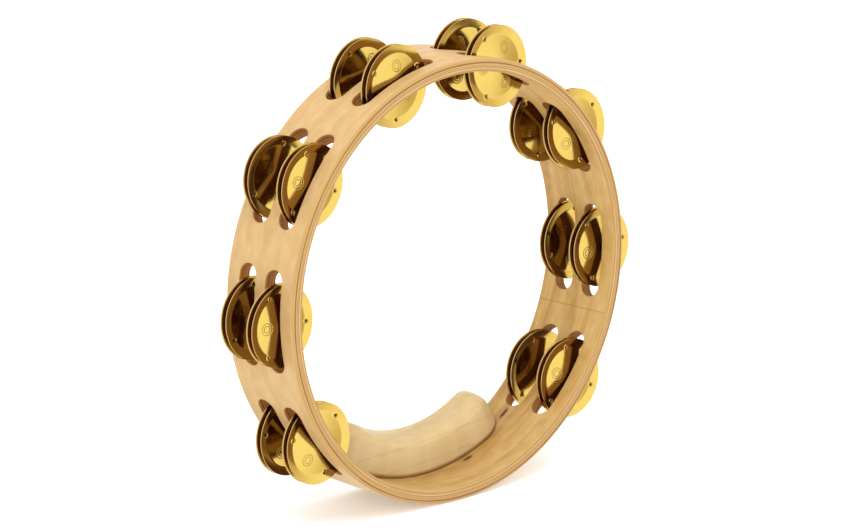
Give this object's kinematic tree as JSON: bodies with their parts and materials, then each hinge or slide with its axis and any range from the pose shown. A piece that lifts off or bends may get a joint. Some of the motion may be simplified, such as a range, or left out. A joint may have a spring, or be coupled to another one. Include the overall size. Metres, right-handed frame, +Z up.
{
  "type": "tambourine",
  "caption": "Headless double-row tambourine: slotted plywood hoop with a glued-in wooden hand grip and paired brass jingles sliding on steel pins.",
  "frame": {"origin": "on the floor under the middle of the hoop, which stands upright on its rim", "axes": "+Z up, +Y along the hoop's axis towards the back rim, so the front rim faces -Y; the hand grip is at the bottom"},
  "size_m": [0.2932, 0.055, 0.2669],
  "materials": {
    "hoop_plywood": "satin clear lacquer over birch-like ply",
    "grip_maple": "satin clear lacquer over pale solid wood",
    "pin_steel": "dark drawn wire",
    "jingle_brass": "polished and lacquered sheet brass"
  },
  "bodies": {
    "hoop_body": {"hoop": "hoop_plywood", "hand_grip": "grip_maple", "pin_1": "pin_steel", "pin_2": "pin_steel", "pin_3": "pin_steel", "pin_4": "pin_steel", "pin_5": "pin_steel", "pin_6": "pin_steel", "pin_7": "pin_steel", "pin_8": "pin_steel"},
    "jingle_1_front_fore": {"jingle_1_front_fore": "jingle_brass"},
    "jingle_1_front_aft": {"jingle_1_front_aft": "jingle_brass"},
    "jingle_1_back_fore": {"jingle_1_back_fore": "jingle_brass"},
    "jingle_1_back_aft": {"jingle_1_back_aft": "jingle_brass"},
    "jingle_2_front_fore": {"jingle_2_front_fore": "jingle_brass"},
    "jingle_2_front_aft": {"jingle_2_front_aft": "jingle_brass"},
    "jingle_2_back_fore": {"jingle_2_back_fore": "jingle_brass"},
    "jingle_2_back_aft": {"jingle_2_back_aft": "jingle_brass"},
    "jingle_3_front_fore": {"jingle_3_front_fore": "jingle_brass"},
    "jingle_3_front_aft": {"jingle_3_front_aft": "jingle_brass"},
    "jingle_3_back_fore": {"jingle_3_back_fore": "jingle_brass"},
    "jingle_3_back_aft": {"jingle_3_back_aft": "jingle_brass"},
    "jingle_4_front_fore": {"jingle_4_front_fore": "jingle_brass"},
    "jingle_4_front_aft": {"jingle_4_front_aft": "jingle_brass"},
    "jingle_4_back_fore": {"jingle_4_back_fore": "jingle_brass"},
    "jingle_4_back_aft": {"jingle_4_back_aft": "jingle_brass"},
    "jingle_5_front_fore": {"jingle_5_front_fore": "jingle_brass"},
    "jingle_5_front_aft": {"jingle_5_front_aft": "jingle_brass"},
    "jingle_5_back_fore": {"jingle_5_back_fore": "jingle_brass"},
    "jingle_5_back_aft": {"jingle_5_back_aft": "jingle_brass"},
    "jingle_6_front_fore": {"jingle_6_front_fore": "jingle_brass"},
    "jingle_6_front_aft": {"jingle_6_front_aft": "jingle_brass"},
    "jingle_6_back_fore": {"jingle_6_back_fore": "jingle_brass"},
    "jingle_6_back_aft": {"jingle_6_back_aft": "jingle_brass"},
    "jingle_7_front_fore": {"jingle_7_front_fore": "jingle_brass"},
    "jingle_7_front_aft": {"jingle_7_front_aft": "jingle_brass"},
    "jingle_7_back_fore": {"jingle_7_back_fore": "jingle_brass"},
    "jingle_7_back_aft": {"jingle_7_back_aft": "jingle_brass"},
    "jingle_8_front_fore": {"jingle_8_front_fore": "jingle_brass"},
    "jingle_8_front_aft": {"jingle_8_front_aft": "jingle_brass"},
    "jingle_8_back_fore": {"jingle_8_back_fore": "jingle_brass"},
    "jingle_8_back_aft": {"jingle_8_back_aft": "jingle_brass"}
  },
  "joints": [
    {"name": "jingle_1_front_fore_slide", "type": "slide", "parent": "hoop_body", "child": "jingle_1_front_fore", "axis": [0, -1, 0], "range_m": [-0.0003, 0.0004]},
    {"name": "jingle_1_front_aft_slide", "type": "slide", "parent": "hoop_body", "child": "jingle_1_front_aft", "axis": [0, 1, 0], "range_m": [-0.0003, 0.0048]},
    {"name": "jingle_1_back_fore_slide", "type": "slide", "parent": "hoop_body", "child": "jingle_1_back_fore", "axis": [0, -1, 0], "range_m": [-0.0003, 0.0013]},
    {"name": "jingle_1_back_aft_slide", "type": "slide", "parent": "hoop_body", "child": "jingle_1_back_aft", "axis": [0, 1, 0], "range_m": [-0.0003, 0.0037]},
    {"name": "jingle_2_front_fore_slide", "type": "slide", "parent": "hoop_body", "child": "jingle_2_front_fore", "axis": [0, -1, 0], "range_m": [-0.0003, 0.0003]},
    {"name": "jingle_2_front_aft_slide", "type": "slide", "parent": "hoop_body", "child": "jingle_2_front_aft", "axis": [0, 1, 0], "range_m": [-0.0003, 0.0047]},
    {"name": "jingle_2_back_fore_slide", "type": "slide", "parent": "hoop_body", "child": "jingle_2_back_fore", "axis": [0, -1, 0], "range_m": [-0.0003, 0.0002]},
    {"name": "jingle_2_back_aft_slide", "type": "slide", "parent": "hoop_body", "child": "jingle_2_back_aft", "axis": [0, 1, 0], "range_m": [-0.0003, 0.0046]},
    {"name": "jingle_3_front_fore_slide", "type": "slide", "parent": "hoop_body", "child": "jingle_3_front_fore", "axis": [0, -1, 0], "range_m": [-0.0003, 0.0003]},
    {"name": "jingle_3_front_aft_slide", "type": "slide", "parent": "hoop_body", "child": "jingle_3_front_aft", "axis": [0, 1, 0], "range_m": [-0.0003, 0.0047]},
    {"name": "jingle_3_back_fore_slide", "type": "slide", "parent": "hoop_body", "child": "jingle_3_back_fore", "axis": [0, -1, 0], "range_m": [-0.0003, 0.0047]},
    {"name": "jingle_3_back_aft_slide", "type": "slide", "parent": "hoop_body", "child": "jingle_3_back_aft", "axis": [0, 1, 0], "range_m": [-0.0003, 0.0003]},
    {"name": "jingle_4_front_fore_slide", "type": "slide", "parent": "hoop_body", "child": "jingle_4_front_fore", "axis": [0, -1, 0], "range_m": [-0.0003, 0.0003]},
    {"name": "jingle_4_front_aft_slide", "type": "slide", "parent": "hoop_body", "child": "jingle_4_front_aft", "axis": [0, 1, 0], "range_m": [-0.0003, 0.0047]},
    {"name": "jingle_4_back_fore_slide", "type": "slide", "parent": "hoop_body", "child": "jingle_4_back_fore", "axis": [0, -1, 0], "range_m": [-0.0003, 0.0042]},
    {"name": "jingle_4_back_aft_slide", "type": "slide", "parent": "hoop_body", "child": "jingle_4_back_aft", "axis": [0, 1, 0], "range_m": [-0.0003, 0.001]},
    {"name": "jingle_5_front_fore_slide", "type": "slide", "parent": "hoop_body", "child": "jingle_5_front_fore", "axis": [0, -1, 0], "range_m": [-0.0003, 0.0009]},
    {"name": "jingle_5_front_aft_slide", "type": "slide", "parent": "hoop_body", "child": "jingle_5_front_aft", "axis": [0, 1, 0], "range_m": [-0.0003, 0.0041]},
    {"name": "jingle_5_back_fore_slide", "type": "slide", "parent": "hoop_body", "child": "jingle_5_back_fore", "axis": [0, -1, 0], "range_m": [-0.0003, 0.0047]},
    {"name": "jingle_5_back_aft_slide", "type": "slide", "parent": "hoop_body", "child": "jingle_5_back_aft", "axis": [0, 1, 0], "range_m": [-0.0003, 0.0003]},
    {"name": "jingle_6_front_fore_slide", "type": "slide", "parent": "hoop_body", "child": "jingle_6_front_fore", "axis": [0, -1, 0], "range_m": [-0.0003, 0.0003]},
    {"name": "jingle_6_front_aft_slide", "type": "slide", "parent": "hoop_body", "child": "jingle_6_front_aft", "axis": [0, 1, 0], "range_m": [-0.0003, 0.0045]},
    {"name": "jingle_6_back_fore_slide", "type": "slide", "parent": "hoop_body", "child": "jingle_6_back_fore", "axis": [0, -1, 0], "range_m": [-0.0003, 0.0047]},
    {"name": "jingle_6_back_aft_slide", "type": "slide", "parent": "hoop_body", "child": "jingle_6_back_aft", "axis": [0, 1, 0], "range_m": [-0.0003, 0.0002]},
    {"name": "jingle_7_front_fore_slide", "type": "slide", "parent": "hoop_body", "child": "jingle_7_front_fore", "axis": [0, -1, 0], "range_m": [-0.0003, 0.0019]},
    {"name": "jingle_7_front_aft_slide", "type": "slide", "parent": "hoop_body", "child": "jingle_7_front_aft", "axis": [0, 1, 0], "range_m": [-0.0003, 0.0031]},
    {"name": "jingle_7_back_fore_slide", "type": "slide", "parent": "hoop_body", "child": "jingle_7_back_fore", "axis": [0, -1, 0], "range_m": [-0.0003, 0.0039]},
    {"name": "jingle_7_back_aft_slide", "type": "slide", "parent": "hoop_body", "child": "jingle_7_back_aft", "axis": [0, 1, 0], "range_m": [-0.0003, 0.0011]},
    {"name": "jingle_8_front_fore_slide", "type": "slide", "parent": "hoop_body", "child": "jingle_8_front_fore", "axis": [0, -1, 0], "range_m": [-0.0003, 0.0003]},
    {"name": "jingle_8_front_aft_slide", "type": "slide", "parent": "hoop_body", "child": "jingle_8_front_aft", "axis": [0, 1, 0], "range_m": [-0.0003, 0.0047]},
    {"name": "jingle_8_back_fore_slide", "type": "slide", "parent": "hoop_body", "child": "jingle_8_back_fore", "axis": [0, -1, 0], "range_m": [-0.0003, 0.0041]},
    {"name": "jingle_8_back_aft_slide", "type": "slide", "parent": "hoop_body", "child": "jingle_8_back_aft", "axis": [0, 1, 0], "range_m": [-0.0003, 0.0011]}
  ]
}
